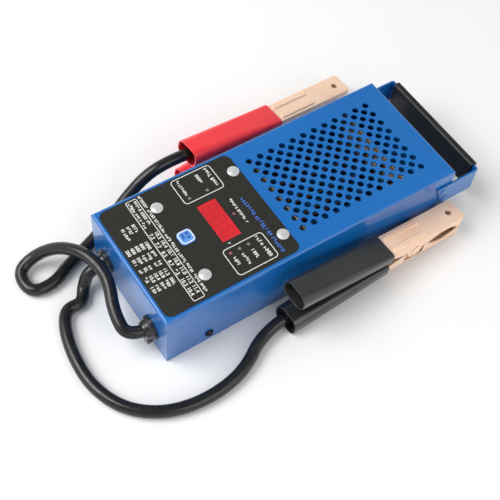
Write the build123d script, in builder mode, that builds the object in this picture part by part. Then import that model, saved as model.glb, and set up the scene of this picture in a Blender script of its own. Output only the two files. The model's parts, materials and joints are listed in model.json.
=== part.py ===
from build123d import *
import os
from math import asin, cos, pi, radians, sin, tan

# Battery tester: a folded sheet-steel case that lies on its base, with a display panel, a perforated grille
# over the load element, a strap handle at one end, and two clamp leads out of the other end.
# Millimetres. +X runs from the cable end to the handle end, +Z up, origin at the centre of the base.

# Case
case_length = 254.0
case_width = 105.0
case_height = 53.5
sheet = 1.2
top_bend = 2.0
base_flange = 12.0
seam_gap = 0.2

# Grille: a square grid of holes with a second grid at the centres of its squares
grille_x = 51.7
hole_pitch = 10.0
hole_diameter = 5.1
grille_rows = 12
grille_columns = 8

# Panel
label_x = -69.0
label_length = 110.0
label_width = 99.0
label_corner = 6.0
label_thickness = 0.35
display_x = -51.5
display_y = 1.2
display_length = 15.5
display_width = 35.5
digit_pitch = 11.8
button_x = -79.4
button_y = 0.5
button_size = 11.8
button_corner = 3.4
button_gap = 0.3
button_height = 1.05
led_diameter = 3.0
led_places = {
    "led_load": (-44.3, 28.3),
    "led_charging": (-59.3, 28.3),
    "led_reverse": (-39.0, 0.6),
    "led_good": (-44.3, -26.6),
    "led_weak": (-51.8, -26.6),
    "led_bad": (-59.3, -26.6),
}
panel_screw_places = [(x, y) for x in (-84.3, -19.0) for y in (-32.7, 32.7)]
panel_screw_diameter = 4.0
panel_head_diameter = 9.2
panel_head_height = 1.8

# Circuit board
board_x = -51.6
board_length = 76.0
board_width = 78.0
board_thickness = 1.6
board_top = 44.5
button_travel = 1.0
plunger_diameter = 3.4
plunger_depth = 0.9

# Side screws and handle
side_screw_places = [(-91.8, 8.7), (91.8, 8.7)]
side_screw_diameter = 3.0
side_head_diameter = 6.8
side_head_height = 2.5
handle_end = 153.4
handle_bottom = 17.9
handle_top = 40.4
ear_start = 111.4
ear_foot = 120.8
strap = 1.5
rivet_places = [(118.7, 33.6), (123.2, 23.0)]
rivet_diameter = 3.8
grip_length = 97.0
grip_thickness = 6.5
grip_height = 26.0

# Leads and glands
lead_diameter = 9.4
gland_y = 32.2
gland_z = 19.4
gland_flange = 3.5
gland_nose = 4.0

# Load circuit inside the case
terminal_top = 18.4
terminal_x = -80.0
link_stud_x = -56.0
stud_diameter = 6.0
lug_thickness = 2.0
lug_width = 13.0
element_front = 8.0
element_rear = 100.0
element_runs = 8
ribbon_thickness = 1.0
ribbon_height = 8.0
ribbon_bottom = 24.0
bracket_thickness = 1.5
bracket_bar = 8.0
bracket_foot = 10.0
bracket_half_width = 49.0

# Clamps, in a frame of their own: u towards the tip, v across, w away from the closing plane,
# origin on the pivot. The lower half is bent more than the upper one.
clamp_pitch = 6.4
jaw_tip = 50.0
jaw_knee = -27.0
channel_end = -108.0
sleeve_end = -114.5
plate_height = 10.2
jaw_sheet = 1.2
jaw_half_width = 9.7
channel_end_half_width = 7.4
flange_depth = 5.6
upper_bend = 4.6
lower_bend = 10.4
ear_radius = 7.5
rib_length = 36.0
rib_width = 5.0
rib_height = 1.2
pin_diameter = 5.0
pin_clearance = 0.05
lug_gap = 0.4
sleeve_wall = 1.2
sleeve_front = (22.8, 9.8)
sleeve_rear = (23.0, 16.0)
sleeve_front_height = 12.2
upper_sleeve_rear_height = 19.4
lower_sleeve_rear_height = 28.75
lead_seat = 6.1
insulation_end = -96.0
coil_radius = 4.4
coil_half = 4.3
coil_turns = 4.5
wire = 1.4
clamp_z = 15.8

os.makedirs("parts", exist_ok=True)


def finish(piece, name):
    """Label a finished piece and write it."""
    piece.part.label = name
    export_step(piece.part, f"parts/{name}.step")


def side_seat(x, z, outward, distance):
    """A plane across Y at x and z, at a distance from the middle, facing outward (+1 or -1 in Y)."""
    return Plane(origin=(x, outward * distance, z), x_dir=(-outward, 0, 0), z_dir=(0, outward, 0))


def domed_fastener(seat, head_diameter, head_height, rim, shank_diameter, shank_length):
    """A domed head standing on the plane seat, with its shank running down the plane's normal."""
    dome = head_height - rim
    radius = (head_diameter**2 / 4 + dome**2) / (2 * dome)
    half_angle = asin(head_diameter / 2 / radius) / 2
    dome_middle = (radius * sin(half_angle), head_height - radius + radius * cos(half_angle))
    with BuildPart() as fastener:
        with BuildSketch(Plane(origin=seat.origin, x_dir=seat.x_dir, z_dir=-seat.y_dir)):
            with BuildLine():
                Polyline(
                    (0, head_height),
                    (0, -shank_length),
                    (shank_diameter / 2, -shank_length),
                    (shank_diameter / 2, 0),
                    (head_diameter / 2, 0),
                    (head_diameter / 2, rim),
                )
                ThreePointArc((head_diameter / 2, rim), dome_middle, (0, head_height))
            make_face()
        revolve(axis=Axis(seat.origin, seat.z_dir))
    return fastener.part


def panel_openings(clearance):
    """Sketch the holes that the panel's window, button, lamps and screws need."""
    with Locations((display_x, display_y)):
        Rectangle(display_length + 2 * clearance, display_width + 2 * clearance)
    with Locations((button_x, button_y)):
        opening = button_size + 2 * button_gap
        RectangleRounded(opening, opening, button_corner + button_gap)
    with Locations(*led_places.values()):
        Circle(led_diameter / 2 + clearance)
    with Locations(*panel_screw_places):
        Circle(panel_screw_diameter / 2 + clearance)


# ---------------------------------------------------------------- case shells

# Top cover: the top and four walls, folded from one sheet
with BuildPart() as top_cover:
    with BuildSketch():
        Rectangle(case_length, case_width)
    extrude(amount=case_height)
    fillet(top_cover.edges().group_by(Axis.Z)[-1], top_bend)
    offset(amount=-sheet, openings=top_cover.faces().sort_by(Axis.Z)[0])
    with BuildSketch(Plane.XY.offset(case_height)):
        with Locations((grille_x, 0)):
            with GridLocations(hole_pitch, hole_pitch, grille_rows, grille_columns):
                Circle(hole_diameter / 2)
            with GridLocations(hole_pitch, hole_pitch, grille_rows - 1, grille_columns - 1):
                Circle(hole_diameter / 2)
        panel_openings(0.15)
    extrude(amount=-2 * sheet, mode=Mode.SUBTRACT)
    with BuildSketch(Plane.YZ.offset(-case_length / 2)):
        with Locations((-gland_y, gland_z), (gland_y, gland_z)):
            Circle(6.5)
    extrude(amount=2 * sheet, mode=Mode.SUBTRACT)
    with BuildSketch(Plane.XZ):
        with Locations(*side_screw_places):
            Circle(side_screw_diameter / 2)
        with Locations(*rivet_places):
            Circle(rivet_diameter / 2)
    extrude(amount=case_width, both=True, mode=Mode.SUBTRACT)
finish(top_cover, "top_cover")

# Base plate: a tray with upturned side flanges that take the side screws
base_length = case_length - 2 * sheet - 2 * seam_gap
base_width = case_width - 2 * sheet
with BuildPart() as base_plate:
    with BuildSketch():
        Rectangle(base_length, base_width)
    extrude(amount=base_flange)
    with BuildSketch(Plane.XY.offset(sheet)):
        Rectangle(base_length, base_width - 2 * sheet)
    extrude(amount=base_flange, mode=Mode.SUBTRACT)
    with BuildSketch(Plane.XZ):
        with Locations(*side_screw_places):
            Circle(side_screw_diameter / 2)
    extrude(amount=case_width, both=True, mode=Mode.SUBTRACT)
finish(base_plate, "base_plate")

# Side screws: two low on each side wall
side_seats = [side_seat(x, z, outward, case_width / 2) for outward in (-1, 1) for x, z in side_screw_places]
screws = [
    domed_fastener(seat, side_head_diameter, side_head_height, 0.8, side_screw_diameter, 6.0) for seat in side_seats
]
with BuildPart() as cover_screws:
    add(screws)
finish(cover_screws, "cover_screws")

# ---------------------------------------------------------------- handle

# Strap handle: two ears on the side walls and a bar across behind the end wall
with BuildPart() as handle_bracket:
    strap_outer = case_width / 2 + strap
    ear_length = handle_end - ear_start
    with BuildSketch(Plane.XY.offset(handle_bottom)):
        with Locations((ear_start + ear_length / 2, 0)):
            Rectangle(ear_length, 2 * strap_outer)
        with Locations((ear_start + (ear_length - strap) / 2, 0)):
            Rectangle(ear_length - strap, case_width, mode=Mode.SUBTRACT)
    extrude(amount=handle_top - handle_bottom)
    fillet(handle_bracket.edges().filter_by(Axis.Z).group_by(Axis.X)[-1], 2.5)
    with BuildSketch(Plane.XZ):
        with BuildLine():
            Polyline(
                (ear_start - 1, handle_bottom - 1),
                (ear_foot + 0.4, handle_bottom - 1),
                (ear_start, handle_top),
                (ear_start - 1, handle_top),
                close=True,
            )
        make_face()
        with Locations(*rivet_places):
            Circle(rivet_diameter / 2)
    extrude(amount=case_width, both=True, mode=Mode.SUBTRACT)
finish(handle_bracket, "handle_bracket")

# Moulded sleeve on the bar
with BuildPart() as handle_grip:
    with BuildSketch(Plane.XZ):
        with Locations((handle_end - strap / 2, (handle_bottom + handle_top) / 2)):
            RectangleRounded(grip_thickness, grip_height, 2.6)
            Rectangle(strap, handle_top - handle_bottom, mode=Mode.SUBTRACT)
    extrude(amount=grip_length / 2, both=True)
finish(handle_grip, "handle_grip")

# Flat rivets through the ears and the side walls
rivets = []
for outward in (-1, 1):
    for x, z in rivet_places:
        outside = side_seat(x, z, outward, strap_outer)
        rivets.append(domed_fastener(outside, 6.0, 0.8, 0.3, rivet_diameter, strap + sheet))
        inside = Plane(origin=(x, outward * (case_width / 2 - sheet), z), z_dir=(0, -outward, 0))
        rivets.append(domed_fastener(inside, 5.0, 1.0, 0.4, rivet_diameter, sheet))
with BuildPart() as handle_rivets:
    add(rivets)
finish(handle_rivets, "handle_rivets")

# ---------------------------------------------------------------- panel

# Printed label on the cover
with BuildPart() as panel_label:
    with BuildSketch(Plane.XY.offset(case_height)):
        with Locations((label_x, 0)):
            RectangleRounded(label_length, label_width, label_corner)
        with BuildSketch(mode=Mode.SUBTRACT):
            panel_openings(0.15)
    extrude(amount=label_thickness)
finish(panel_label, "panel_label")

# Display filter: a boss that fills the window, with a flange under the cover
with BuildPart() as display_window:
    under_cover = case_height - sheet
    with BuildSketch(Plane.XY.offset(under_cover - 1.0)):
        with Locations((display_x, display_y)):
            Rectangle(display_length + 4, display_width + 4)
    extrude(amount=1.0)
    with BuildSketch(Plane.XY.offset(under_cover)):
        with Locations((display_x, display_y)):
            Rectangle(display_length, display_width)
    extrude(amount=sheet + label_thickness - 0.1)
finish(display_window, "display_window")

# Three seven-segment digit modules on the board, under the filter
for index in (-1, 0, 1):
    with BuildPart() as digit:
        with BuildSketch(Plane.XY.offset(board_top)):
            with Locations((display_x, display_y - index * digit_pitch)):
                Rectangle(display_length - 0.9, digit_pitch - 0.2)
        extrude(amount=under_cover - 1.2 - board_top)
    finish(digit, f"digit_module_{index + 2}")

# Indicator lamps: a base ring, a domed body and two legs down to the board
lamp_seat = board_top + 4.0
for name, (x, y) in led_places.items():
    with BuildPart() as led:
        with BuildSketch(Plane.XY.offset(lamp_seat)):
            with Locations((x, y)):
                Circle(led_diameter / 2)
        extrude(amount=case_height + label_thickness + 0.2 - lamp_seat)
        fillet(led.faces().sort_by(Axis.Z)[-1].edges(), 1.1)
        with BuildSketch(Plane.XY.offset(lamp_seat)):
            with Locations((x, y)):
                Circle(led_diameter / 2 + 0.4)
        extrude(amount=1.0)
        with BuildSketch(Plane.XY.offset(board_top)):
            with Locations((x - 0.9, y), (x + 0.9, y)):
                Rectangle(0.5, 0.5)
        extrude(amount=lamp_seat - board_top)
    finish(led, name)

# Circuit board, hung from the cover
with BuildPart() as circuit_board:
    with BuildSketch(Plane.XY.offset(board_top)):
        with Locations((board_x, 0)):
            RectangleRounded(board_length, board_width, 3)
        with Locations(*panel_screw_places):
            Circle(panel_screw_diameter / 2 + 0.15, mode=Mode.SUBTRACT)
    extrude(amount=-board_thickness)
finish(circuit_board, "circuit_board")

# Tubular spacers between the board and the cover
with BuildPart() as board_spacers:
    with BuildSketch(Plane.XY.offset(board_top)):
        with Locations(*panel_screw_places):
            Circle(4.0)
            Circle(panel_screw_diameter / 2 + 0.1, mode=Mode.SUBTRACT)
    extrude(amount=under_cover - board_top)
finish(board_spacers, "board_spacers")

# Domed panel screws and the nuts under the board
panel_screw_length = case_height + label_thickness - board_top + board_thickness + 4.5
panel_screw_seats = [Plane((x, y, case_height + label_thickness)) for x, y in panel_screw_places]
screws = [
    domed_fastener(seat, panel_head_diameter, panel_head_height, 0.6, panel_screw_diameter, panel_screw_length)
    for seat in panel_screw_seats
]
with BuildPart() as panel_screws:
    add(screws)
finish(panel_screws, "panel_screws")

with BuildPart() as board_nuts:
    with BuildSketch(Plane.XY.offset(board_top - board_thickness)):
        with Locations(*panel_screw_places):
            RegularPolygon(7.0 / 2, 6, major_radius=False)
            Circle(panel_screw_diameter / 2, mode=Mode.SUBTRACT)
    extrude(amount=-3.2)
finish(board_nuts, "board_nuts")

# Test button: a cap in the panel, a flange under the cover and a post down to the switch
post_bottom = board_top + 4.9
flange_top = under_cover - 0.3
with BuildPart() as test_button:
    with BuildSketch(Plane.XY.offset(flange_top)):
        with Locations((button_x, button_y)):
            RectangleRounded(button_size, button_size, button_corner)
    extrude(amount=case_height + label_thickness + button_height - flange_top)
    fillet(test_button.faces().sort_by(Axis.Z)[-1].edges(), 0.5)
    with BuildSketch(Plane.XY.offset(flange_top)):
        with Locations((button_x, button_y)):
            RectangleRounded(button_size + 2.8, button_size + 2.8, 4.2)
    extrude(amount=-1.1)
    with BuildSketch(Plane.XY.offset(post_bottom)):
        with Locations((button_x, button_y)):
            Circle(2.2)
    extrude(amount=flange_top - 1.1 - post_bottom)
finish(test_button, "test_button")

# Switch housing on the board, bored for the plunger that the button presses
switch_top = board_top + 3.6
with BuildPart() as button_switch:
    with BuildSketch(Plane.XY.offset(board_top)):
        with Locations((button_x, button_y)):
            Rectangle(6.2, 6.2)
    extrude(amount=switch_top - board_top)
    with BuildSketch(Plane.XY.offset(switch_top)):
        with Locations((button_x, button_y)):
            Circle(plunger_diameter / 2 + 0.05)
    extrude(amount=-(plunger_depth + button_travel + 0.4), mode=Mode.SUBTRACT)
finish(button_switch, "button_switch")

with BuildPart() as switch_plunger:
    with BuildSketch(Plane.XY.offset(switch_top - plunger_depth)):
        with Locations((button_x, button_y)):
            Circle(plunger_diameter / 2)
    extrude(amount=post_bottom - switch_top + plunger_depth)
finish(switch_plunger, "switch_plunger")

# ---------------------------------------------------------------- load circuit

# Relay that switches the load, and the block that carries the return stud
with BuildPart() as load_relay:
    with BuildSketch(Plane.XY.offset(sheet)):
        with Locations(((terminal_x + link_stud_x) / 2, -gland_y)):
            Rectangle(44, 30)
    extrude(amount=terminal_top - sheet)
    fillet(load_relay.edges().filter_by(Axis.Z), 2.0)
finish(load_relay, "load_relay")

with BuildPart() as return_block:
    with BuildSketch(Plane.XY.offset(sheet)):
        with Locations((terminal_x, gland_y)):
            Rectangle(22, 24)
    extrude(amount=terminal_top - sheet)
    fillet(return_block.edges().filter_by(Axis.Z), 2.0)
finish(return_block, "return_block")

stud_places = [(terminal_x, -gland_y), (link_stud_x, -gland_y), (terminal_x, gland_y)]
with BuildPart() as terminal_studs:
    with BuildSketch(Plane.XY.offset(terminal_top)):
        with Locations(*stud_places):
            Circle(stud_diameter / 2)
    extrude(amount=10.5)
finish(terminal_studs, "terminal_studs")

with BuildPart() as stud_nuts:
    for (x, y), stack in zip(stud_places, (1, 1, 2)):
        with BuildSketch(Plane.XY.offset(terminal_top + stack * lug_thickness)):
            with Locations((x, y)):
                RegularPolygon(5.0, 6, major_radius=False)
                Circle(stud_diameter / 2, mode=Mode.SUBTRACT)
        extrude(amount=4.5)
finish(stud_nuts, "stud_nuts")

# Straps from the studs to the two ends of the load element, each turned up at its end
bus_straps = (("load_link", link_stud_x, -gland_y, 0), ("return_strap", terminal_x, gland_y, 1))
for name, start, y, stack in bus_straps:
    strap_bottom = terminal_top + stack * lug_thickness
    with BuildPart() as bus_strap:
        with BuildSketch(Plane.XY.offset(strap_bottom)):
            with Locations(((start - 7) / 2, y)):
                Rectangle(7 - start, 10)
            with Locations((start, y)):
                Circle(stud_diameter / 2 + 0.2, mode=Mode.SUBTRACT)
        extrude(amount=lug_thickness)
        with BuildSketch(Plane.XY.offset(strap_bottom)):
            with Locations((-lug_thickness / 2, y)):
                Rectangle(lug_thickness, 10)
        extrude(amount=ribbon_bottom + ribbon_height + 1 - strap_bottom)
    finish(bus_strap, name)

# Load element: one ribbon on edge, folded to and fro between the two insulator bars
fold = 1.5
ribbon_points = [(0, -gland_y), (element_front, -gland_y)]
for run in range(1, element_runs):
    fold_x = element_rear if run % 2 else element_front
    fold_y = -gland_y + run * 2 * gland_y / element_runs
    ribbon_points += [(fold_x, fold_y - fold), (fold_x, fold_y + fold)]
ribbon_points += [(element_front, gland_y), (0, gland_y)]
with BuildPart() as load_element:
    with BuildSketch(Plane.XY.offset(ribbon_bottom)):
        with BuildLine():
            FilletPolyline(*ribbon_points, radius=1.3)
        trace(line_width=ribbon_thickness)
    extrude(amount=ribbon_height)
finish(load_element, "load_element")

# Steatite bars under the folds, and the bridges on edge that carry them and stand over the ribbon
bracket_top = ribbon_bottom + ribbon_height + 1 + bracket_bar
leg_inside = bracket_half_width - bracket_bar
for place, x in (("front", element_front), ("rear", element_rear)):
    with BuildPart() as insulator:
        with BuildSketch(Plane.XY.offset(ribbon_bottom - 8)):
            with Locations((x, 0)):
                Rectangle(10, 2 * leg_inside)
        extrude(amount=8)
    finish(insulator, f"insulator_{place}")

    bracket_x = x - 4.6
    foot_x = bracket_x + bracket_foot / 2
    foot_y = bracket_half_width - bracket_bar / 2
    with BuildPart() as element_bracket:
        with BuildSketch(Plane.YZ.offset(bracket_x)):
            with Locations((0, (sheet + bracket_top) / 2)):
                Rectangle(2 * bracket_half_width, bracket_top - sheet)
            with Locations((0, (sheet + bracket_top - bracket_bar) / 2)):
                Rectangle(2 * leg_inside, bracket_top - bracket_bar - sheet, mode=Mode.SUBTRACT)
        extrude(amount=bracket_thickness)
        with BuildSketch(Plane.XY.offset(sheet)):
            with Locations((foot_x, -foot_y), (foot_x, foot_y)):
                Rectangle(bracket_foot, bracket_bar)
        extrude(amount=bracket_thickness)
    finish(element_bracket, f"element_bracket_{place}")

# ---------------------------------------------------------------- glands and leads inside the case

for lead, y in (("red", -gland_y), ("black", gland_y)):
    wall_x = -case_length / 2
    with BuildPart() as gland:
        with BuildSketch(Plane(origin=(wall_x, y, gland_z), x_dir=(1, 0, 0), z_dir=(0, -1, 0))):
            with BuildLine():
                Polyline(
                    (7.5, 0),
                    (7.5, 6.0),
                    (3.4, 6.9),
                    (1.4, 6.9),
                    (1.4, 6.4),
                    (0, 6.4),
                    (0, 9.6),
                    (-gland_flange + 0.8, 9.6),
                    (-gland_flange, 8.8),
                    (-gland_flange, 7.8),
                    (-gland_flange - gland_nose, 6.8),
                    (-gland_flange - gland_nose, 0),
                    close=True,
                )
            make_face()
        revolve(axis=Axis((wall_x, y, gland_z), (1, 0, 0)))
        # the wedge that locks the lead, a rounded knob beside the nose
        with BuildSketch(Plane.YZ.offset(wall_x - gland_flange)):
            with Locations((y - 3.6, gland_z - 6.4)):
                Circle(4.0)
        extrude(amount=-gland_nose)
        with BuildSketch(Plane.YZ.offset(wall_x + 8)):
            with Locations((y, gland_z)):
                Circle(lead_diameter / 2)
        extrude(amount=-20, mode=Mode.SUBTRACT)
    finish(gland, f"{lead}_gland")

    with BuildPart() as inner_lead:
        with BuildSketch(Plane.YZ.offset(wall_x)):
            with Locations((y, gland_z)):
                Circle(lead_diameter / 2)
        extrude(amount=27)
    finish(inner_lead, f"{lead}_lead_inner")

    with BuildPart() as lug:
        with BuildSketch(Plane.YZ.offset(-100)):
            with Locations((y, gland_z)):
                Circle(4.6)
        extrude(amount=8.5)
        with BuildSketch(Plane.XY.offset(terminal_top)):
            with Locations((-83, y)):
                SlotOverall(20, lug_width)
            with Locations((-90, y)):
                Rectangle(6, lug_width)
            with Locations((terminal_x, y)):
                Circle(stud_diameter / 2 + 0.2, mode=Mode.SUBTRACT)
        extrude(amount=lug_thickness)
    finish(lug, f"{lead}_lead_lug")

# ---------------------------------------------------------------- clamps


def half_profile(sign, bend):
    """Side view of one clamp half, (u, w): plate, flanges with the long notch for the post, and bent handle."""
    handle_rise = (jaw_knee - channel_end) * tan(radians(bend))
    points = [
        (jaw_tip, 0.4),
        (jaw_tip, plate_height),
        (jaw_knee, plate_height),
        (channel_end, plate_height + handle_rise),
        (channel_end, plate_height + handle_rise - flange_depth),
        (jaw_knee, plate_height - flange_depth),
        (-12.0, 1.0),
        (13.0, 0.4),
    ]
    points = [(u, sign * w) for u, w in points]
    Polyline(*points)
    ThreePointArc((13.0, sign * 0.4), (29.5, sign * 5.4), (46.0, sign * 0.4))
    Line((46.0, sign * 0.4), (jaw_tip, sign * 0.4))


def plan_outline(inset):
    """Plan of one clamp half, (u, v): parallel jaws with cut corners at the tip, and a tapering handle."""
    half = jaw_half_width - inset
    end_half = channel_end_half_width - inset
    tip = jaw_tip - inset
    beyond = channel_end - (2 if inset else 0)
    Polyline(
        (tip, -half + 2),
        (tip, half - 2),
        (tip - 2, half),
        (jaw_knee - 5, half),
        (beyond, end_half),
        (beyond, -end_half),
        (jaw_knee - 5, -half),
        (tip - 2, -half),
        close=True,
    )


def plate_rise(u, bend):
    """Height of the plate's outer face above the closing plane at u, behind the knee."""
    return plate_height + (jaw_knee - u) * tan(radians(bend))


def clamp(colour, pivot, yaw, lead_half, lead_offset):
    """One clamp: two pressed halves on a pin, a torsion spring, two soft sleeves and the lead's crimp."""
    pitch = radians(clamp_pitch)
    turn = radians(yaw)
    along = Vector(cos(turn) * cos(pitch), sin(turn) * cos(pitch), -sin(pitch))
    across = Vector(-sin(turn), cos(turn), 0)
    frame = Plane(origin=pivot, x_dir=along, z_dir=along.cross(across))
    side = Plane(origin=pivot, x_dir=along, z_dir=-across)

    for half, sign, bend, rear_height in (
        ("upper", 1, upper_bend, upper_sleeve_rear_height),
        ("lower", -1, lower_bend, lower_sleeve_rear_height),
    ):
        # what is taken out of the pressing, leaving the plate, the flanges and the closed tip
        with BuildPart() as hollow:
            with BuildSketch(frame.offset(-40)):
                with BuildLine():
                    plan_outline(jaw_sheet)
                make_face()
            extrude(amount=80)
            with BuildSketch(side):
                inner = plate_height - jaw_sheet
                rear = channel_end - 5
                with BuildLine():
                    Polyline(
                        (jaw_tip, sign * inner),
                        (jaw_knee, sign * inner),
                        (rear, sign * (plate_rise(rear, bend) - jaw_sheet)),
                        (rear, -sign * 12),
                        (jaw_tip, -sign * 12),
                        close=True,
                    )
                make_face()
            extrude(amount=20, both=True, mode=Mode.INTERSECT)

        # inner lugs of the lower half, which stand between the ears of the upper one
        lug_outer = jaw_half_width - jaw_sheet - lug_gap
        with BuildPart() as lugs:
            for amount, mode in ((lug_outer, Mode.ADD), (lug_outer - jaw_sheet, Mode.SUBTRACT)):
                with BuildSketch(side):
                    Circle(ear_radius)
                    with Locations((0, -plate_height / 2 + 0.3)):
                        Rectangle(2 * ear_radius, plate_height - 0.6)
                extrude(amount=amount, both=True, mode=mode)

        with BuildPart() as jaw:
            with BuildSketch(side):
                with BuildLine():
                    half_profile(sign, bend)
                make_face()
                if half == "upper":
                    Circle(ear_radius)
            extrude(amount=jaw_half_width, both=True)
            with BuildSketch(frame.offset(-40)):
                with BuildLine():
                    plan_outline(0)
                make_face()
            extrude(amount=80, mode=Mode.INTERSECT)
            add(hollow.part, mode=Mode.SUBTRACT)
            if half == "lower":
                with BuildSketch(side):
                    with Locations((0, 0)):
                        Rectangle(20, 2 * (plate_height - jaw_sheet))
                extrude(amount=20, both=True, mode=Mode.SUBTRACT)
                add(lugs.part)
            # two pressed ribs over the pivot, and the hole near the tip
            face_middle = frame.from_local_coords((0, 0, sign * plate_height))
            plate_face = Plane(origin=face_middle, x_dir=along, z_dir=sign * frame.z_dir)
            with BuildSketch(plate_face):
                with Locations((-6, -5.6), (-6, 5.6)):
                    SlotOverall(rib_length, rib_width)
            extrude(amount=rib_height, taper=35)
            with BuildSketch(plate_face):
                with Locations((40, 0)):
                    Circle(2.6)
            extrude(amount=-2 * jaw_sheet, mode=Mode.SUBTRACT)
            pin_room = pin_clearance if half == "upper" else 0
            with BuildSketch(side):
                Circle(pin_diameter / 2 + pin_room)
            extrude(amount=20, both=True, mode=Mode.SUBTRACT)
        finish(jaw, f"{colour}_{half}_jaw")

        # soft sleeve, flat at the front and oval at the rear
        front_centre = sleeve_front_height - sleeve_front[1] / 2
        rear_centre = rear_height - sleeve_rear[1] / 2
        sections = (
            (jaw_knee, front_centre, sleeve_front, 2.4),
            (sleeve_end, rear_centre, sleeve_rear, 7.0),
        )
        with BuildPart() as sleeve:
            for wall, mode in ((0, Mode.ADD), (sleeve_wall, Mode.SUBTRACT)):
                for u, w, (width, height), corner in sections:
                    origin = frame.from_local_coords((u, 0, sign * w))
                    with BuildSketch(Plane(origin=origin, x_dir=across, z_dir=along)):
                        RectangleRounded(width - 2 * wall, height - 2 * wall, corner - wall)
                loft(mode=mode)
        finish(sleeve, f"{colour}_{half}_grip")

        # the lead's end, and the crimp that ties its conductor to the plate
        if half == lead_half:
            handle_angle = radians(bend)
            inward = frame.from_local_coords(
                (cos(handle_angle), 0, -sign * sin(handle_angle))
            ) - frame.origin
            entry_height = plate_rise(sleeve_end, bend) - lead_seat
            entry = frame.from_local_coords((sleeve_end, lead_offset, sign * entry_height))
            tail_length = (insulation_end - sleeve_end) / cos(handle_angle)
            with BuildPart() as lead_tail:
                with BuildSketch(Plane(origin=entry, z_dir=inward)):
                    Circle(lead_diameter / 2)
                extrude(amount=tail_length)
            finish(lead_tail, f"{colour}_lead_tail")

            barrel_start = entry + inward * tail_length
            seat_gap = (lead_seat - jaw_sheet) * cos(handle_angle)
            with BuildPart() as crimp:
                with BuildSketch(Plane(origin=barrel_start, z_dir=inward)):
                    Circle(3.8)
                extrude(amount=13)
                with BuildSketch(Plane(origin=barrel_start + inward * 10, x_dir=across, z_dir=inward)):
                    with Locations((0, sign * (seat_gap - 1.1))):
                        Rectangle(9, 2.0)
                extrude(amount=16)
            finish(crimp, f"{colour}_crimp")
            print(colour, "lead enters its sleeve at", entry, "along", inward)

    with BuildPart() as pivot_pin:
        with BuildSketch(side):
            Circle(pin_diameter / 2)
        extrude(amount=jaw_half_width + 0.2, both=True)
        for sense in (-1, 1):
            with BuildSketch(side.offset(sense * (jaw_half_width + 0.1))):
                Circle(4.0)
            extrude(amount=sense * 1.1)
        fillet(pivot_pin.faces().sort_by(Axis(pivot, across))[-1].edges(), 0.5)
        fillet(pivot_pin.faces().sort_by(Axis(pivot, across))[0].edges(), 0.5)
    finish(pivot_pin, f"{colour}_pivot_pin")

    coil_plane = Plane(origin=frame.from_local_coords((0, -coil_half, 0)), x_dir=frame.z_dir, z_dir=across)
    coil = coil_plane * Helix(pitch=2 * coil_half / coil_turns, height=2 * coil_half, radius=coil_radius)
    with BuildPart() as spring:
        with BuildSketch(Plane(origin=coil @ 0, z_dir=coil % 0)):
            Circle(wire / 2)
        sweep(path=coil, is_frenet=True)
        for sense in (-1, 1):
            leg_start = frame.from_local_coords((0.4, sense * coil_half, -sense * coil_radius))
            leg_height = plate_height - jaw_sheet - 0.85
            leg_end = frame.from_local_coords((-20, sense * coil_half, -sense * leg_height))
            leg_direction = leg_end - leg_start
            with BuildSketch(Plane(origin=leg_start, z_dir=leg_direction)):
                Circle(wire / 2)
            extrude(amount=leg_direction.length)
    finish(spring, f"{colour}_spring")


clamp("red", (78.3, 83.1, clamp_z), 4.6, "upper", 0)
clamp("black", (77.2, -67.4, clamp_z), 2.5, "lower", 1.2)

# ---------------------------------------------------------------- free leads

# Points that each free lead is drawn through, from its gland to the sleeve that it enters
red_route = [
    (-127.0, -32.2, 19.4),
    (-145.8, -32.2, 19.4),
    (-145.5, -11.5, 25.5),
    (-137.0, 10.2, 30.5),
    (-138.1, 24.9, 33.7),
    (-143.1, 42.2, 32.5),
    (-154.8, 59.7, 23.2),
    (-169.5, 69.5, 9.5),
    (-184.8, 65.0, 4.85),
    (-184.3, 44.0, 4.85),
    (-165.5, 43.2, 4.85),
    (-150.5, 51.8, 4.85),
    (-133.5, 58.5, 4.85),
    (-109.5, 66.5, 9.5),
    (-90.5, 72.0, 22.0),
    (-71.0, 73.5, 37.0),
    (-51.495, 72.657, 43.068),
    (-33.882, 74.074, 39.634),
]
black_route = [
    (-127.0, 32.2, 19.4),
    (-142.0, 32.2, 19.4),
    (-149.5, 29.5, 5.4),
    (-156.0, 17.8, 4.85),
    (-169.0, 19.3, 4.85),
    (-177.0, 5.5, 4.85),
    (-182.0, -18.0, 4.85),
    (-182.0, -45.0, 4.85),
    (-171.0, -71.0, 4.85),
    (-148.0, -88.5, 4.85),
    (-118.0, -94.5, 4.85),
    (-86.0, -90.0, 4.85),
    (-58.708, -72.133, 7.134),
    (-38.775, -71.262, 8.53),
]
red_joint_run = 12


def arc_radii(points):
    """Radius of the arc at each inner point: 0.45 of the shorter run beside it, over tan of half the turn."""
    radii = []
    for before, corner, after in zip(points, points[1:], points[2:]):
        run_in = Vector(corner) - Vector(before)
        run_out = Vector(after) - Vector(corner)
        half_turn = radians(run_in.get_angle(run_out)) / 2
        radii.append(0.45 * min(run_in.length, run_out.length) / tan(half_turn))
    return radii


def lead_tube(name, points, radii):
    """Sweep one stretch of lead along straight runs joined by tangent arcs, and report it."""
    with BuildPart() as tube:
        with BuildLine() as route:
            FilletPolyline(*points, radius=radii)
        with BuildSketch(Plane(origin=route.line @ 0, z_dir=route.line % 0)):
            Circle(lead_diameter / 2)
        sweep()
    finish(tube, name)
    length = sum(edge.length for edge in route.edges())
    expected = pi * lead_diameter**2 / 4 * length
    print(name, "length", round(length, 1), "radii", [round(radius, 1) for radius in radii])
    print(name, "volume over section times length", round(tube.part.volume / expected, 4))


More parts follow.
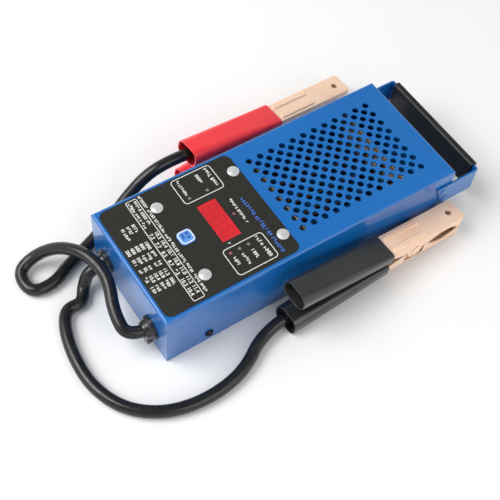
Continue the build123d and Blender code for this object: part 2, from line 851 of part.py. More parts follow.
# The red lead is cut in the middle of one run: the stretch beyond it follows the clamp's moving half
red_radii = arc_radii(red_route)
cut = (Vector(red_route[red_joint_run]) + Vector(red_route[red_joint_run + 1])) * 0.5
lead_tube("red_lead", red_route[: red_joint_run + 1] + [tuple(cut)], red_radii[:red_joint_run])
lead_tube("red_lead_end", [tuple(cut)] + red_route[red_joint_run + 1 :], red_radii[red_joint_run:])
lead_tube("black_lead", black_route, arc_radii(black_route))
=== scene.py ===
import json
import math
import random

import bmesh
import bpy
from mathutils import Matrix, Vector


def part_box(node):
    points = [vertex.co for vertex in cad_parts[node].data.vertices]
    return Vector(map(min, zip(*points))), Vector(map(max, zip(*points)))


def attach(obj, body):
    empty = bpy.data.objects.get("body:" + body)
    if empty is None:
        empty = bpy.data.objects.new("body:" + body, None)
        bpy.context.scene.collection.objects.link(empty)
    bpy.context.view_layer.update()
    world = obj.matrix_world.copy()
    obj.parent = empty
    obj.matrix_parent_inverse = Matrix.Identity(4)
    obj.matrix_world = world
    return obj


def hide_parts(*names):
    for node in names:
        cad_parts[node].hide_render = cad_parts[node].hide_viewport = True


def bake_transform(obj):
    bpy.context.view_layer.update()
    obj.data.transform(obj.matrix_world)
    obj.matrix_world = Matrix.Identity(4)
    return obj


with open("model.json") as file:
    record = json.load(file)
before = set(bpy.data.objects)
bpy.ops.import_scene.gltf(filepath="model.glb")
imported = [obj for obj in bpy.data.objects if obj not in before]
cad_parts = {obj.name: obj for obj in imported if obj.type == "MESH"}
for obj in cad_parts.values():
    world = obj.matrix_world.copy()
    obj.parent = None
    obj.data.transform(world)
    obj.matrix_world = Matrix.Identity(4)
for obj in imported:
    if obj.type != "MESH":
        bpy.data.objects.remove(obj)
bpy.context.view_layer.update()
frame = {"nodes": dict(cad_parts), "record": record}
nodes = frame["nodes"]

MM = 0.001
scene = bpy.context.scene
scene.view_settings.view_transform = "Standard"
scene.view_settings.look = "None"

# ---------------------------------------------------------------- camera

CAMERA_PLACE = (-0.2746, -0.3127, 0.6055)
CAMERA_AZIMUTH = -39.065
CAMERA_ELEVATION = 56.728
CAMERA_ROLL = 6.769
CAMERA_LENS = 67.70

camera_data = bpy.data.cameras.new("camera")
camera = bpy.data.objects.new("camera", camera_data)
scene.collection.objects.link(camera)
camera_data.lens = CAMERA_LENS
camera_data.sensor_width = 36.0
camera_data.clip_start = 0.01
camera_data.clip_end = 20.0
turn = Matrix.Rotation(math.radians(CAMERA_AZIMUTH), 4, "Z")
tilt = Matrix.Rotation(math.radians(90 - CAMERA_ELEVATION), 4, "X")
roll = Matrix.Rotation(math.radians(CAMERA_ROLL), 4, "Z")
camera.matrix_world = Matrix.Translation(CAMERA_PLACE) @ turn @ tilt @ roll
scene.camera = camera

# ---------------------------------------------------------------- materials


EVEN = (1, 1, 1)
COAT_IOR = 1.5
BEVEL_SAMPLES = 6
BUMP_DETAIL = 3.0
# painted shade in hollows: samples that find shut-in surfaces, and where the painted shade starts and ends
HOLLOW_SHADE_SAMPLES = 16
HOLLOW_SHADE_STOPS = [(0.3, (0, 0, 0)), (0.78, (1, 1, 1))]
INK_SHADE = 0.88
LAMP_SHADE = 0.55


def between(low, high):
    """Ramp stops over the middle of a noise, where nearly all of its values lie."""
    return [(0.3, low), (0.7, high)]


class Surface:
    """A procedural material built round one Principled shader."""

    def __init__(self, name, colour, roughness=0.5, metallic=0.0, specular=0.5):
        self.material = bpy.data.materials.new(name)
        self.material.use_nodes = True
        self.tree = self.material.node_tree
        self.shader = self.tree.nodes["Principled BSDF"]
        self.shader.inputs["Base Color"].default_value = (*colour, 1)
        self.shader.inputs["Roughness"].default_value = roughness
        self.shader.inputs["Metallic"].default_value = metallic
        self.shader.inputs["Specular IOR Level"].default_value = specular
        self.material.diffuse_color = (*colour, 1)

    def node(self, kind, **values):
        made = self.tree.nodes.new(kind)
        for key, value in values.items():
            if hasattr(made, key):
                setattr(made, key, value)
            else:
                made.inputs[key.replace("_", " ")].default_value = value
        return made

    def link(self, source, target):
        self.tree.links.new(source, target)

    def place(self, stretch=EVEN):
        """Coordinates in the object's own frame, stretched along its axes."""
        coordinates = self.node("ShaderNodeTexCoord")
        mapping = self.node("ShaderNodeMapping")
        mapping.inputs["Scale"].default_value = stretch
        self.link(coordinates.outputs["Object"], mapping.inputs["Vector"])
        return mapping.outputs["Vector"]

    def noise(self, scale, detail=4.0, stretch=EVEN):
        made = self.node("ShaderNodeTexNoise")
        made.inputs["Scale"].default_value = scale
        made.inputs["Detail"].default_value = detail
        self.link(self.place(stretch), made.inputs["Vector"])
        return made.outputs["Fac"]

    def ramp(self, factor, stops):
        made = self.node("ShaderNodeValToRGB")
        while len(made.color_ramp.elements) < len(stops):
            made.color_ramp.elements.new(0.5)
        for element, (position, colour) in zip(made.color_ramp.elements, stops):
            element.position = position
            element.color = (*colour, 1)
        self.link(factor, made.inputs["Fac"])
        return made.outputs["Color"]

    def tones(self, scale, stops, detail=4.0, stretch=EVEN):
        """Colour that wanders between the stops over the surface."""
        colour = self.ramp(self.noise(scale, detail, stretch), stops)
        self.link(colour, self.shader.inputs["Base Color"])
        return colour

    def roughness(self, scale, low, high, stretch=EVEN, detail=5.0):
        """Roughness that wanders between low and high over the surface."""
        grey = self.ramp(self.noise(scale, detail, stretch), between((low,) * 3, (high,) * 3))
        self.link(grey, self.shader.inputs["Roughness"])

    def bump(self, layers, bevel=0.0):
        """Stack bump layers of (scale, strength, distance in mm, stretch) over a softened edge."""
        normal = None
        if bevel:
            softened = self.node("ShaderNodeBevel", samples=BEVEL_SAMPLES)
            softened.inputs["Radius"].default_value = bevel * MM
            normal = softened.outputs["Normal"]
        for scale, strength, distance, stretch in layers:
            made = self.node("ShaderNodeBump")
            made.inputs["Strength"].default_value = strength
            made.inputs["Distance"].default_value = distance * MM
            self.link(self.noise(scale, BUMP_DETAIL, stretch), made.inputs["Height"])
            if normal is not None:
                self.link(normal, made.inputs["Normal"])
            normal = made.outputs["Normal"]
        if normal is not None:
            self.link(normal, self.shader.inputs["Normal"])

    def painted_hollow_shade(self, under, deep, reach):
        """Painted shade: blend to a deep colour where the surface is shut in, as inside a folded pressing."""
        shut_in = self.node("ShaderNodeAmbientOcclusion", samples=HOLLOW_SHADE_SAMPLES, only_local=True)
        shut_in.inputs["Distance"].default_value = reach * MM
        open_share = self.ramp(shut_in.outputs["AO"], HOLLOW_SHADE_STOPS)
        mixed = self.node("ShaderNodeMix", data_type="RGBA")
        self.link(open_share, mixed.inputs["Factor"])
        mixed.inputs["A"].default_value = (*deep, 1)
        self.link(under, mixed.inputs["B"])
        self.link(mixed.outputs["Result"], self.shader.inputs["Base Color"])

    def coat(self, weight, roughness):
        """A clear gloss layer over the surface."""
        self.shader.inputs["Coat Weight"].default_value = weight
        self.shader.inputs["Coat Roughness"].default_value = roughness
        self.shader.inputs["Coat IOR"].default_value = COAT_IOR


def case_paint():
    """Blue stoving enamel: a deep colour under a hard gloss, with a faint orange peel."""
    s = Surface("blue_enamel", (0.003, 0.135, 0.46), 0.3, specular=0.4)
    s.tones(12.0, between((0.002, 0.125, 0.430), (0.004, 0.145, 0.475)))
    s.roughness(20.0, 0.25, 0.31, detail=1.0)
    s.bump([(60.0, 0.015, 0.8, EVEN)])
    s.coat(0.6, 0.06)
    return s.material


def label_print_ground():
    """Charcoal label film, matt, with a fine grain."""
    s = Surface("label_charcoal", (0.018, 0.018, 0.014), 0.5, specular=0.3)
    s.tones(900.0, [(0.35, (0.014, 0.014, 0.011)), (0.65, (0.022, 0.022, 0.017))])
    s.roughness(300.0, 0.45, 0.58)
    s.bump([(2600.0, 0.10, 0.05, EVEN)])
    return s.material


def ink(name, colour):
    """Flat printing ink with faint mottling."""
    s = Surface(name, colour, 0.45)
    darker = tuple(c * INK_SHADE for c in colour)
    s.tones(1500.0, [(0.3, darker), (0.6, colour)])
    s.roughness(700.0, 0.4, 0.55)
    return s.material


def moulding(name, low, high, roughness, grain=1800.0, strength=0.1, coat=0.0, bevel=0.3):
    """Moulded plastic, rubber or ceramic, with a fine grain over a slow waviness."""
    s = Surface(name, high, roughness[0])
    s.tones(60.0, between(low, high), 6.0)
    s.roughness(140.0, *roughness)
    s.bump([(grain, strength, 0.08, EVEN), (50.0, 0.06, 0.6, EVEN)], bevel=bevel)
    if coat:
        s.coat(coat, 0.15)
    return s.material


def sheath():
    """Cable sheath: glossy black PVC, slightly wavy, with paler patches painted in as highlight streaks."""
    s = Surface("black_sheath", (0.008, 0.008, 0.009), 0.24, specular=0.5)
    # painted highlight: the palest stop makes paler patches that stand in for highlight streaks
    painted_highlight_streaks = [(0.35, (0.005, 0.005, 0.006)), (0.62, (0.009, 0.009, 0.010)), (0.85, (0.020, 0.020, 0.021))]
    s.tones(120.0, painted_highlight_streaks, 7.0)
    s.roughness(180.0, 0.16, 0.34)
    s.bump([(70.0, 0.12, 0.5, EVEN), (1300.0, 0.05, 0.05, EVEN)])
    return s.material


def metal(name, low, high, roughness, stretch=(0.05, 1, 1), scale=900.0, bump=0.08, metallic=1.0):
    """Plated or bare metal. A small stretch draws its grain out along that axis."""
    s = Surface(name, high, roughness[0], metallic=metallic)
    s.tones(scale, between(low, high), 5.0, stretch)
    s.roughness(scale * 0.6, *roughness, stretch=stretch)
    s.bump([(scale, bump, 0.05, stretch), (45.0, 0.05, 0.8, EVEN)], bevel=0.3)
    return s.material


def copper_plate():
    """Bright copper-coloured plating, with a painted red-brown shade inside the folds."""
    s = Surface("plated_copper", (1.0, 0.68, 0.48), 0.3, metallic=0.12, specular=0.7)
    colour = s.tones(40.0, between((0.98, 0.63, 0.43), (1.0, 0.74, 0.55)), 2.0)
    # painted shade: the copper turns deep red-brown where the pressing shuts in on itself
    s.painted_hollow_shade(colour, (0.10, 0.010, 0.006), 12.0)
    s.roughness(40.0, 0.26, 0.34, detail=1.0)
    s.bump([(30.0, 0.04, 0.8, EVEN)])
    return s.material


def lamp(name, colour):
    """Glossy tinted lens of a small unlit lamp."""
    s = Surface(name, colour, 0.2)
    dark = tuple(c * LAMP_SHADE for c in colour)
    s.tones(500.0, between(dark, colour))
    s.coat(1.0, 0.05)
    s.shader.inputs["Subsurface Weight"].default_value = 0.15
    return s.material


def display_red():
    """Red filter window over the digits."""
    s = Surface("display_filter", (0.62, 0.012, 0.022), 0.3)
    s.tones(40.0, between((0.56, 0.008, 0.018), (0.68, 0.014, 0.026)))
    s.roughness(300.0, 0.25, 0.34)
    s.bump([(1500.0, 0.04, 0.05, EVEN)], bevel=0.3)
    s.coat(0.5, 0.1)
    return s.material


def vinyl(name, low, high, roughness, coat):
    """Soft dipped sleeve: gently uneven, with a close gloss."""
    s = Surface(name, high, roughness[0])
    s.tones(30.0, between(low, high), 2.0)
    s.roughness(40.0, *roughness, detail=1.0)
    s.bump([(26.0, 0.16, 1.2, EVEN), (1500.0, 0.04, 0.05, EVEN)])
    s.coat(coat, 0.12)
    return s.material


def solder_mask():
    """Green circuit board with paler lines where its tracks are."""
    s = Surface("solder_mask", (0.02, 0.16, 0.05), 0.4)
    lines = s.node("ShaderNodeTexBrick")
    lines.inputs["Scale"].default_value = 220.0
    lines.inputs["Color1"].default_value = (0.015, 0.13, 0.045, 1)
    lines.inputs["Color2"].default_value = (0.02, 0.17, 0.06, 1)
    lines.inputs["Mortar"].default_value = (0.05, 0.28, 0.10, 1)
    s.link(s.place(), lines.inputs["Vector"])
    s.link(lines.outputs["Color"], s.shader.inputs["Base Color"])
    s.roughness(300.0, 0.3, 0.45)
    return s.material


PAINT = case_paint()
LABEL = label_print_ground()
WHITE_INK = ink("white_ink", (0.82, 0.82, 0.79))
BLUE_INK = ink("blue_ink", (0.06, 0.17, 0.62))
NAVY_INK = ink("navy_ink", (0.015, 0.05, 0.30))
BLACK_MOULDING = moulding(
    "black_moulding", (0.006, 0.006, 0.006), (0.013, 0.013, 0.013), (0.18, 0.32), coat=0.5
)
GRIP_RUBBER = moulding(
    "handle_rubber", (0.003, 0.003, 0.003), (0.006, 0.006, 0.006), (0.4, 0.55), 900.0, 0.15
)
SHEATH = sheath()
COPPER = copper_plate()
ZINC = metal("zinc_plate", (0.55, 0.55, 0.56), (0.72, 0.72, 0.74), (0.3, 0.45))
PALE_HEADS = metal(
    "pale_heads", (0.52, 0.54, 0.53), (0.64, 0.66, 0.65), (0.3, 0.42), EVEN, 500.0, metallic=0.25
)
SPRING_WIRE = metal("spring_wire", (0.30, 0.30, 0.31), (0.48, 0.48, 0.50), (0.3, 0.45))
BRASS = metal("brass_strap", (0.62, 0.42, 0.16), (0.80, 0.60, 0.28), (0.3, 0.45))
RIBBON = metal("heated_ribbon", (0.16, 0.09, 0.06), (0.38, 0.22, 0.13), (0.35, 0.55), EVEN, 90.0)
GOLD_PLATE = metal("yellow_passivate", (0.86, 0.66, 0.34), (1.0, 0.88, 0.62), (0.2, 0.35), metallic=0.6)
BLACK_OXIDE = metal("black_oxide", (0.020, 0.020, 0.024), (0.050, 0.050, 0.058), (0.25, 0.38), EVEN, 400.0)
STEATITE = moulding("steatite", (0.62, 0.58, 0.50), (0.74, 0.71, 0.64), (0.5, 0.7), 900.0, 0.3)
RED_VINYL = vinyl("red_vinyl", (0.84, 0.022, 0.034), (0.92, 0.036, 0.052), (0.24, 0.36), 0.5)
BLACK_VINYL = vinyl("black_vinyl", (0.016, 0.017, 0.017), (0.028, 0.030, 0.030), (0.24, 0.36), 0.4)
BUTTON_BLUE = moulding("button_blue", (0.09, 0.28, 0.74), (0.12, 0.33, 0.82), (0.3, 0.4), coat=0.3, bevel=0.2)
DISPLAY = display_red()
SOLDER_MASK = solder_mask()
GREY_LAMP = lamp("grey_lamp", (0.27, 0.22, 0.16))
RED_LAMP = lamp("red_lamp", (0.36, 0.085, 0.07))

SLOT_MATERIALS = {
    "case_paint": PAINT,
    "black_oxide": BLACK_OXIDE,
    "grip_black": GRIP_RUBBER,
    "label": LABEL,
    "display_red": DISPLAY,
    "digit_plastic": BLACK_MOULDING,
    "lamp_amber": GREY_LAMP,
    "lamp_red": RED_LAMP,
    "lamp_green": GREY_LAMP,
    "board_green": SOLDER_MASK,
    "zinc_steel": ZINC,
    "nickel_steel": PALE_HEADS,
    "button_blue": BUTTON_BLUE,
    "relay_black": BLACK_MOULDING,
    "strap_brass": BRASS,
    "element_alloy": RIBBON,
    "steatite": STEATITE,
    "bracket_gold": GOLD_PLATE,
    "gland_black": BLACK_MOULDING,
    "lead_black": SHEATH,
    "lug_copper": ZINC,
    "jaw_copper": COPPER,
    "sleeve_red": RED_VINYL,
    "sleeve_black": BLACK_VINYL,
    "spring_steel": SPRING_WIRE,
}

for row in frame["record"]["subparts"]:
    obj = nodes[row["node"]]
    obj.data.materials.clear()
    obj.data.materials.append(SLOT_MATERIALS[row["material_slot"]])

# ---------------------------------------------------------------- mesh helpers


def mesh_object(name, bm, material, smooth=True):
    """Turn a bmesh into a linked object with one material."""
    mesh = bpy.data.meshes.new(name)
    bmesh.ops.recalc_face_normals(bm, faces=bm.faces)
    for face in bm.faces:
        face.smooth = smooth
    bm.to_mesh(mesh)
    bm.free()
    mesh.materials.append(material)
    obj = bpy.data.objects.new(name, mesh)
    scene.collection.objects.link(obj)
    return obj


def tube_mesh(bm, path, radius, sides=28):
    """Skin a round tube along path, with frames carried along it and closed ends."""
    count = len(path)
    tangents = [(path[min(i + 1, count - 1)] - path[max(i - 1, 0)]).normalized() for i in range(count)]
    side = tangents[0].orthogonal().normalized()
    rings = []
    for point, tangent in zip(path, tangents):
        side = (side - tangent * side.dot(tangent)).normalized()
        other = tangent.cross(side)
        ring = []
        for k in range(sides):
            angle = 2 * math.pi * k / sides
            ring.append(bm.verts.new(point + (side * math.cos(angle) + other * math.sin(angle)) * radius))
        rings.append(ring)
    for first, second in zip(rings, rings[1:]):
        for k in range(sides):
            bm.faces.new((first[k], first[(k + 1) % sides], second[(k + 1) % sides], second[k]))
    bm.faces.new(rings[0])
    bm.faces.new(rings[-1])


def route_line(name, points_mm):
    """Points read from a smooth spline whose control points are the route's."""
    curve = bpy.data.curves.new(name + "_route", "CURVE")
    curve.dimensions = "3D"
    spline = curve.splines.new("NURBS")
    spline.points.add(len(points_mm) - 1)
    for point, place in zip(spline.points, points_mm):
        point.co = (*(Vector(place) * MM), 1.0)
    spline.order_u = 3
    spline.use_endpoint_u = True
    curve.resolution_u = 16
    holder = bpy.data.objects.new(name + "_route", curve)
    scene.collection.objects.link(holder)
    bpy.context.view_layer.update()
    mesh = bpy.data.meshes.new_from_object(holder)
    line = [vertex.co.copy() for vertex in mesh.vertices]
    bpy.data.objects.remove(holder)
    bpy.data.meshes.remove(mesh)
    return line


# ---------------------------------------------------------------- leads

LEAD_DIAMETER = 0.0094

# control points in mm, from just inside each gland to the end in the clamp's sleeve
RED_ROUTE = [
    (-127.0, -32.2, 19.4),
    (-145.8, -32.2, 19.4),
    (-145.5, -11.5, 25.5),
    (-137.0, 10.2, 30.5),
    (-138.1, 24.9, 33.7),
    (-143.1, 42.2, 32.5),
    (-154.8, 59.7, 23.2),
    (-169.5, 69.5, 9.5),
    (-184.8, 65.0, 4.85),
    (-184.3, 44.0, 4.85),
    (-165.5, 43.2, 4.85),
    (-150.5, 51.8, 4.85),
    (-133.5, 58.5, 4.85),
    (-109.5, 66.5, 9.5),
    (-90.5, 72.0, 22.0),
    (-71.0, 73.5, 37.0),
    (-51.495, 72.657, 43.068),
    (-33.882, 74.074, 39.634),
]
BLACK_ROUTE = [
    (-127.0, 32.2, 19.4),
    (-142.0, 32.2, 19.4),
    (-149.5, 29.5, 5.4),
    (-156.0, 17.8, 4.85),
    (-169.0, 19.3, 4.85),
    (-177.0, 5.5, 4.85),
    (-182.0, -18.0, 4.85),
    (-182.0, -45.0, 4.85),
    (-171.0, -71.0, 4.85),
    (-148.0, -88.5, 4.85),
    (-118.0, -94.5, 4.85),
    (-86.0, -90.0, 4.85),
    (-58.708, -72.133, 7.134),
    (-38.775, -71.262, 8.53),
]


def lead(name, route):
    """One lead's sheath as a tube along its route, with the points that it follows and its length."""
    line = route_line(name, route)
    bm = bmesh.new()
    tube_mesh(bm, line, LEAD_DIAMETER / 2)
    obj = mesh_object(name, bm, SHEATH)
    length = sum((b - a).length for a, b in zip(line, line[1:]))
    return obj, line, length


# a clamp points down by its pitch, and its spring is wound round its pin
CLAMP_PITCH = math.radians(6.4)
COIL_RADIUS = 4.4 * MM
COIL_HALF = 4.3 * MM
COIL_TURNS = 4.5
WIRE_DIAMETER = 1.4 * MM
# where a leg ends: behind the pin, and off it across the plates
LEG_BEHIND = -20.0 * MM
LEG_OFF = 8.15 * MM
COIL_STEPS = 30
WIRE_SIDES = 12


def clamp_spring(colour):
    """Torsion spring as one wire. Its upper leg follows the moving half, and its lower leg the fixed one."""
    joints = frame["record"]["behaviour"]["joints"]
    hinge = next(row for row in joints if row["name"] == f"{colour}_clamp_hinge")
    pivot = Vector(hinge["pos_m"])
    across = -Vector(hinge["axis"]).normalized()
    level = Vector((across.y, -across.x, 0))
    along = level * math.cos(CLAMP_PITCH) - Vector((0, 0, 1)) * math.sin(CLAMP_PITCH)
    away = along.cross(across)

    path = [pivot + along * LEG_BEHIND - across * COIL_HALF + away * LEG_OFF]
    count = int(COIL_TURNS * COIL_STEPS)
    for step in range(count + 1):
        angle = 2 * math.pi * step / COIL_STEPS
        ring = (away * math.cos(angle) + along * math.sin(angle)) * COIL_RADIUS
        path.append(pivot + ring + across * COIL_HALF * (2 * step / count - 1))
    path.append(pivot + along * LEG_BEHIND + across * COIL_HALF - away * LEG_OFF)

    bm = bmesh.new()
    tube_mesh(bm, path, WIRE_DIAMETER / 2, WIRE_SIDES)
    obj = mesh_object(f"{colour}_spring_wire", bm, SPRING_WIRE)
    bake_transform(obj)
    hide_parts(f"{colour}_spring")
    return obj


def clamp_pieces(colour):
    """The pieces of one clamp, which hang on its lead."""
    parts = ("upper_jaw", "lower_jaw", "upper_grip", "lower_grip", "pivot_pin", "crimp", "lead_tail")
    return [nodes[f"{colour}_{part}"] for part in parts] + [clamp_spring(colour)]


red_sheath, red_line, red_length = lead("red_lead_sheath", RED_ROUTE)
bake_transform(red_sheath)
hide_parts("red_lead", "red_lead_end")
clamp_pieces("red")

black_sheath, black_line, black_length = lead("black_lead_sheath", BLACK_ROUTE)
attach(black_sheath, "case")
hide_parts("black_lead")
clamp_pieces("black")

# ---------------------------------------------------------------- printed panel

label_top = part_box("panel_label")[1].z
INK = 0.05 * MM
CORNER_STEPS = 6
LEAST_CORNER = 0.05

# proportions of the bars that stand in for letters, as shares of the print's height
BAR = 0.23
LETTER_WIDTHS = (0.5, 0.66)
LETTER_GAP = 0.22
WORD_GAP = 0.45
LETTER_SPANS = ((0.0, 1.0), (0.0, 1.0), (0.0, 0.72), (0.28, 1.0))
CROSS_LEVELS = (0.0, 0.4, 0.78)
CROSS_CHANCE = 0.7
SIDE_CHANCE = 0.6
SIDE_REACH = 0.9

# the built-in face: its size for one unit of height, its spacing and its weight
FACE_SIZE = 1.38
FACE_SPACING = 1.08
FACE_WEIGHT = 0.11 * MM


class Print:
    """Raised ink on a level surface. Lines of print read along -Y, with their tops towards +X."""

    def __init__(self, level):
        self.bm = bmesh.new()
        self.level = level

    def patch(self, x0, x1, y0, y1):
        """A block of ink between two corners, in mm."""
        lower = [(x0, y0), (x1, y0), (x1, y1), (x0, y1)]
        self.prism([(x * MM, y * MM) for x, y in lower])

    def prism(self, outline):
        """A level slab of ink over an outline, in metres."""
        bottom = [self.bm.verts.new((x, y, self.level)) for x, y in outline]
        top = [self.bm.verts.new((x, y, self.level + INK)) for x, y in outline]
        self.bm.faces.new(top)
        self.bm.faces.new(list(reversed(bottom)))
        count = len(outline)
        for k in range(count):
            j = (k + 1) % count
            self.bm.faces.new((bottom[k], bottom[j], top[j], top[k]))

    def frame(self, x0, x1, y0, y1, corner, width):
        """A rounded rectangle drawn as a line."""
        loops = []
        for inset in (0.0, width):
            radius = max(corner - inset, LEAST_CORNER)
            loop = []
            for cx, cy, start in (
                (x1 - inset - radius, y1 - inset - radius, 0),
                (x0 + inset + radius, y1 - inset - radius, 90),
                (x0 + inset + radius, y0 + inset + radius, 180),
                (x1 - inset - radius, y0 + inset + radius, 270),
            ):
                for step in range(CORNER_STEPS + 1):
                    angle = math.radians(start + 90 * step / CORNER_STEPS)
                    loop.append((cx + radius * math.cos(angle), cy + radius * math.sin(angle)))
            loops.append(loop)
        rings = []
        for z in (self.level, self.level + INK):
            rings.append([[self.bm.verts.new((x * MM, y * MM, z)) for x, y in loop] for loop in loops])
        (low_out, low_in), (high_out, high_in) = rings
        count = len(low_out)
        for k in range(count):
            j = (k + 1) % count
            self.bm.faces.new((high_out[k], high_out[j], high_in[j], high_in[k]))
            self.bm.faces.new((low_out[j], low_out[k], low_in[k], low_in[j]))
            self.bm.faces.new((low_out[k], low_out[j], high_out[j], high_out[k]))
            self.bm.faces.new((low_in[j], low_in[k], high_in[k], high_in[j]))

    def strokes(self, x, y, until, height, seed, words):
        """Words stood in for by rows of short upright bars, from y down to until."""
        draw = random.Random(seed)
        bar = height * BAR
        while y > until + height:
            for _ in range(draw.randint(*words)):
                width = height * draw.uniform(*LETTER_WIDTHS)
                if y - width < until:
                    break
                low, high = draw.choice(LETTER_SPANS)
                self.patch(x + low * height, x + high * height, y - bar, y)
                if draw.random() < CROSS_CHANCE:
                    level = draw.choice(CROSS_LEVELS) * (high - low) + low
                    self.patch(x + level * height, x + level * height + bar, y - width, y - bar)
                if draw.random() < SIDE_CHANCE:
                    self.patch(x + low * height, x + high * height * SIDE_REACH, y - width, y - width + bar)
                y -= width + height * LETTER_GAP
            y -= height * WORD_GAP

    def number(self, text, x, y, height):
        """A generic number, drawn with the built-in face, its line starting at y."""
        face = bpy.data.curves.new("figure", "FONT")
        face.body = text
        face.size = height * FACE_SIZE * MM
        face.space_character = FACE_SPACING
        face.offset = FACE_WEIGHT
        holder = bpy.data.objects.new("figure", face)
        scene.collection.objects.link(holder)
        bpy.context.view_layer.update()
        mesh = bpy.data.meshes.new_from_object(holder)
        place = Matrix.Translation((x * MM, y * MM, self.level + INK)) @ Matrix.Rotation(-math.pi / 2, 4, "Z")
        mesh.transform(place)
        self.bm.from_mesh(mesh)
        bpy.data.objects.remove(holder)
        bpy.data.meshes.remove(mesh)
        bpy.data.curves.remove(face)

    def finish(self, name, material, body="case"):
        """Make the object, and let it ride on its body."""
        obj = mesh_object(name, self.bm, material, smooth=False)
        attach(obj, body)


HEADING = 2.9
LAMP_WORD = 2.6
SMALL_WORD = 2.4
VALUE = 2.5
FIGURE = 2.7
TABLE_COLUMN = 8.5
UPPER_LINE = -96.6
LOWER_LINE = -100.8
FIRST_COLUMN = 15.6
FIRST_VALUE_LINE = -106.8
VALUE_STEP = 3.75

white = Print(label_top)
# boxes round the two groups of lamps, and the table's outline
white.frame(-65.0, -31.3, 24.2, 48.0, 3.0, 0.6)
white.frame(-64.5, -31.0, -46.2, -22.3, 3.0, 0.6)
white.frame(-102.0, -92.8, -47.0, 48.0, 1.6, 0.55)
# headings of the boxes
white.strokes(-37.4, 46.0, 26.5, HEADING, 1, (4, 5))
white.strokes(-37.4, -24.0, -44.8, HEADING, 2, (4, 6))
# words beside the lamps
white.strokes(-45.8, 44.0, 33.5, LAMP_WORD, 3, (4, 4))
white.strokes(-60.8, 46.0, 31.0, SMALL_WORD, 4, (8, 8))
white.strokes(-45.8, -32.0, -39.6, LAMP_WORD, 5, (4, 4))
white.strokes(-53.3, -31.3, -42.0, LAMP_WORD, 6, (5, 5))
white.strokes(-60.6, -31.0, -39.6, LAMP_WORD, 7, (4, 4))
white.strokes(-35.8, 12.8, -12.4, 2.2, 8, (6, 7))
# title line over the table
white.strokes(-91.4, 48.5, -46.5, 2.3, 9, (4, 7))
# table: two rows of numbers with their headings
white.strokes(UPPER_LINE, 46.0, 22.0, SMALL_WORD, 11, (4, 5))
white.strokes(LOWER_LINE, 46.0, 20.5, SMALL_WORD, 12, (4, 5))
upper_row = ("10.2", "10.4", "10.6", "10.8", "11.0", "11.2", "11.4")
lower_row = ("7.2", "7.7", "8.2", "8.7", "9.2", "10.2", "10.4")
for column, (upper, lower) in enumerate(zip(upper_row, lower_row)):
    column_y = FIRST_COLUMN - column * TABLE_COLUMN
    white.number(upper, UPPER_LINE, column_y, FIGURE)
    white.number(lower, LOWER_LINE, column_y, FIGURE)
# headings and rows of values under the table
white.strokes(-107.4, 29.0, 19.5, SMALL_WORD, 13, (4, 4))
white.strokes(-111.6, 29.0, 19.5, SMALL_WORD, 14, (4, 4))
white.strokes(-115.8, 29.0, 16.0, SMALL_WORD, 15, (6, 6))
value_rows = (("1000", "11.2"), ("800", "10.8"), ("600", "10.4"), ("400", "10.0"), ("200", "9.6"))
for line, (first, second) in enumerate(value_rows):
    line_x = FIRST_VALUE_LINE - line * VALUE_STEP
    white.number(first, line_x, 12.0, VALUE)
    white.strokes(line_x, 2.8, -4.4, VALUE, 20 + line, (3, 3))
    white.strokes(line_x, -6.6, -11.6, VALUE, 25 + line, (2, 2))
    white.number(second, line_x, -13.6, VALUE)
    white.strokes(line_x, -22.6, -29.6, VALUE, 30 + line, (3, 3))
# mark beside the display
white.strokes(-57.0, -18.9, -21.4, 2.0, 40, (1, 1))
white.finish("panel_print_white", WHITE_INK)

blue = Print(label_top)
blue.strokes(-28.2, 9.0, -46.0, 3.0, 50, (4, 8))
blue.finish("panel_print_blue", BLUE_INK)

# ---------------------------------------------------------------- display

window_low, window_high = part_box("display_window")
segments = Print(window_high.z)
DIGIT_PITCH = 11.8
TALL = 5.2
WIDE = 3.0
SEGMENT = 0.8
POINT = 0.5
POINT_GAP = 1.4
window_x = (window_low.x + window_high.x) / 2 / MM
window_y = (window_low.y + window_high.y) / 2 / MM
for index in (-1, 0, 1):
    # seven bars of a digit, tall along X and wide along Y, and its point
    digit_y = window_y - index * DIGIT_PITCH
    for level in (-TALL, 0, TALL):
        bar_x = window_x + level
        segments.patch(
            bar_x - SEGMENT / 2, bar_x + SEGMENT / 2, digit_y - WIDE + SEGMENT, digit_y + WIDE - SEGMENT
        )
    for side in (-WIDE, WIDE):
        bar_y = digit_y + side
        for low, high in ((SEGMENT - TALL, -SEGMENT), (SEGMENT, TALL - SEGMENT)):
            segments.patch(window_x + low, window_x + high, bar_y - SEGMENT / 2, bar_y + SEGMENT / 2)
    point_x = window_x - TALL
    point_y = digit_y - WIDE - POINT_GAP
    segments.patch(point_x - POINT, point_x + POINT, point_y - POINT, point_y + POINT)
SEGMENT_RED = ink("segment_red", (0.46, 0.008, 0.014))
segments.finish("display_segments", SEGMENT_RED)

# ---------------------------------------------------------------- button

button_low, button_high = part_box("test_button")
button_x = (button_low.x + button_high.x) / 2 / MM
button_y = (button_low.y + button_high.y) / 2 / MM
RIM_HALF = 5.4
RIM_CORNER = 3.0
RIM_WIDTH = 0.9
rim = Print(button_high.z)
rim.frame(
    button_x - RIM_HALF, button_x + RIM_HALF, button_y - RIM_HALF, button_y + RIM_HALF, RIM_CORNER, RIM_WIDTH
)
rim.finish("button_rim", WHITE_INK, "button")
mark = Print(button_high.z)
mark.strokes(button_x + 0.5, button_y + 3.4, button_y - 3.2, 2.5, 60, (4, 4))
mark.strokes(button_x - 3.0, button_y + 3.2, button_y - 3.4, 2.3, 61, (4, 4))
mark.finish("button_mark", NAVY_INK, "button")

# ---------------------------------------------------------------- softened edges

WELD_REACH = 0.001 * MM
ROUND_SEGMENTS = 3
SHARP_ANGLE = math.radians(38.0)

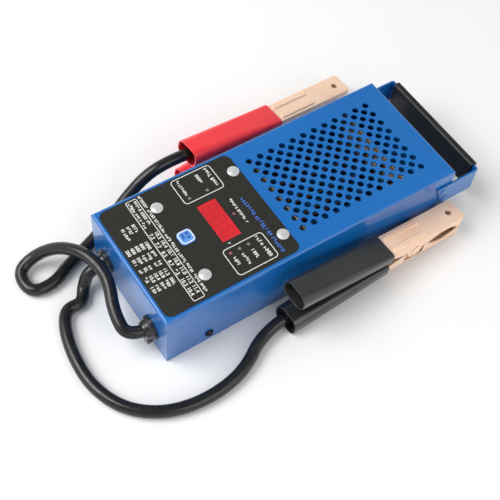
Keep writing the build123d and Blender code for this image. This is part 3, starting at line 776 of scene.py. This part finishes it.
def soften(names, width):
    """Join the split corners of these nodes and round their sharp edges by a width in mm."""
    for name in names:
        obj = nodes[name]
        weld = obj.modifiers.new("weld", "WELD")
        weld.merge_threshold = WELD_REACH
        bevel = obj.modifiers.new("round", "BEVEL")
        bevel.width = width * MM
        bevel.segments = ROUND_SEGMENTS
        bevel.limit_method = "ANGLE"
        bevel.angle_limit = SHARP_ANGLE
        bevel.miter_outer = "MITER_ARC"
        obj.modifiers.new("shading", "WEIGHTED_NORMAL")
        for face in obj.data.polygons:
            face.use_smooth = True


HALVES = [f"{colour}_{half}" for colour in ("red", "black") for half in ("upper", "lower")]
CLAMP_ROUND = 0.4
SMALL_ROUND = 0.25
soften([f"{half}_jaw" for half in HALVES], CLAMP_ROUND)
soften([f"{half}_grip" for half in HALVES], CLAMP_ROUND)
soften(["handle_bracket", "red_gland", "black_gland"], SMALL_ROUND)

# ---------------------------------------------------------------- floor and light

FLOOR_HALF = 3.0
FLOOR_DROP = 0.1 * MM

bm = bmesh.new()
bmesh.ops.create_grid(bm, x_segments=4, y_segments=4, size=FLOOR_HALF)
floor_surface = Surface("pale_floor", (0.9, 0.9, 0.9), 0.6)
floor_surface.tones(3.0, between((0.90, 0.90, 0.90), (0.93, 0.93, 0.93)))
floor_surface.roughness(20.0, 0.55, 0.65)
floor = mesh_object("floor", bm, floor_surface.material)
floor.location.z = -FLOOR_DROP

world = bpy.data.worlds.new("studio")
scene.world = world
world.use_nodes = True
sky = world.node_tree
background = sky.nodes["Background"]
background.inputs["Strength"].default_value = 1.0
direction = sky.nodes.new("ShaderNodeTexCoord")
split = sky.nodes.new("ShaderNodeSeparateXYZ")
gradient = sky.nodes.new("ShaderNodeValToRGB")
# grey of the sky against the sine of its elevation, from the horizon to straight above
SKY_STOPS = ((0.0, 0.95), (0.35, 0.90), (0.62, 0.34), (1.0, 0.26))
while len(gradient.color_ramp.elements) < len(SKY_STOPS):
    gradient.color_ramp.elements.new(0.5)
for element, (height, grey) in zip(gradient.color_ramp.elements, SKY_STOPS):
    element.position = height
    element.color = (grey, grey, grey, 1)
sky.links.new(direction.outputs["Generated"], split.inputs["Vector"])
sky.links.new(split.outputs["Z"], gradient.inputs["Fac"])
sky.links.new(gradient.outputs["Color"], background.inputs["Color"])


def area_light(name, place, target, size, power):
    """A soft square light at place, facing target."""
    data = bpy.data.lights.new(name, "AREA")
    data.shape = "SQUARE"
    data.size = size
    data.energy = power
    obj = bpy.data.objects.new(name, data)
    scene.collection.objects.link(obj)
    obj.location = place
    obj.rotation_euler = (Vector(target) - Vector(place)).to_track_quat("-Z", "Y").to_euler()


area_light("key", place=(-1.0, 0.5, 1.4), target=(0, 0, 0), size=1.2, power=26.0)
area_light("fill", place=(0.3, -1.4, 1.3), target=(0, 0, 0.02), size=1.4, power=10.0)
